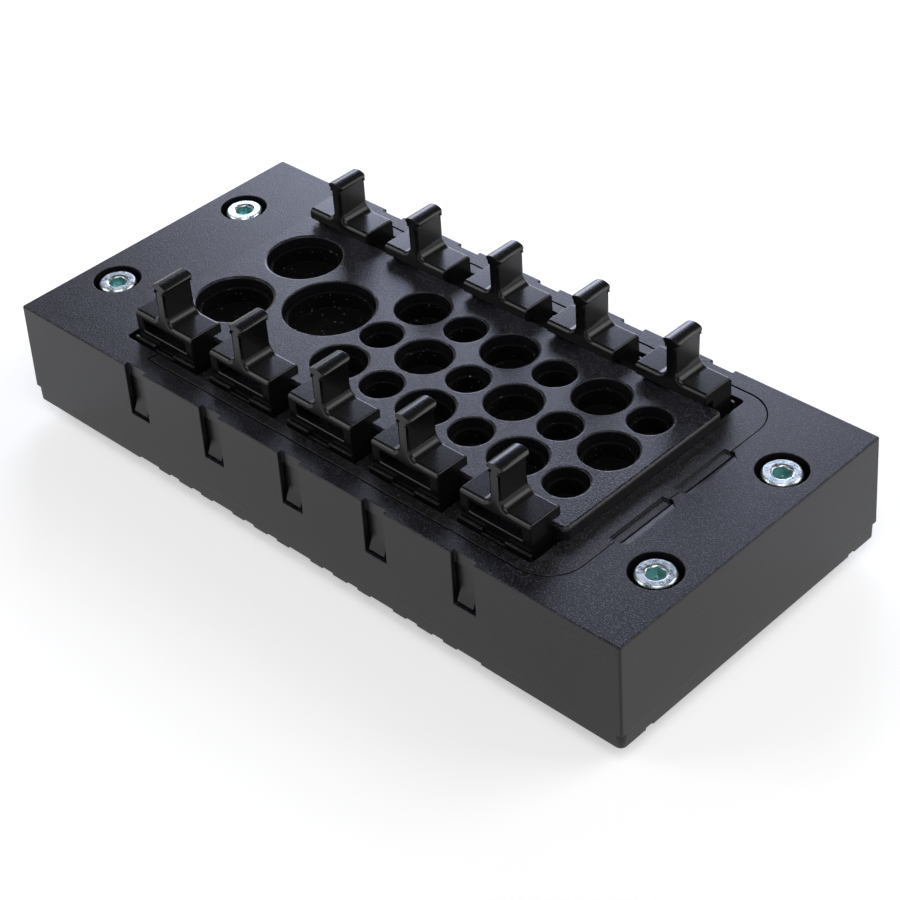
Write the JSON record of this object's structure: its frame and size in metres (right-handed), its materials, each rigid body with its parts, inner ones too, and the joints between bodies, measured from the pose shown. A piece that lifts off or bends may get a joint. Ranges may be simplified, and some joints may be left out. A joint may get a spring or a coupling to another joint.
{
  "type": "cable entry plate",
  "caption": "Flat rectangular cable entry plate with a raised plate of round membrane-closed cable holes between two rows of T-shaped tie lugs.",
  "frame": {"origin": "middle of the underside, which lies on the panel", "axes": "+X along the plate, from the end with the large holes to the end with the small ones; +Y across it; +Z away from the panel"},
  "size_m": [0.145, 0.0668, 0.0379],
  "materials": {
    "cover": "fine spark-eroded texture",
    "base": "fine texture",
    "plate": "fine spark-eroded texture",
    "mat": "soft, dull",
    "seal": "closed-cell foam",
    "lug": "smooth, half gloss",
    "screw": "bright zinc plating"
  },
  "bodies": {
    "root": {"cover_frame": "cover", "base_carrier": "base", "hole_plate": "plate", "membrane_mat": "mat", "panel_seal": "seal", "tie_lug_front_1": "lug", "tie_lug_front_2": "lug", "tie_lug_front_3": "lug", "tie_lug_front_4": "lug", "tie_lug_front_5": "lug", "tie_lug_back_1": "lug", "tie_lug_back_2": "lug", "tie_lug_back_3": "lug", "tie_lug_back_4": "lug", "tie_lug_back_5": "lug", "screw_1": "screw", "screw_2": "screw", "screw_3": "screw", "screw_4": "screw"}
  },
  "joints": []
}
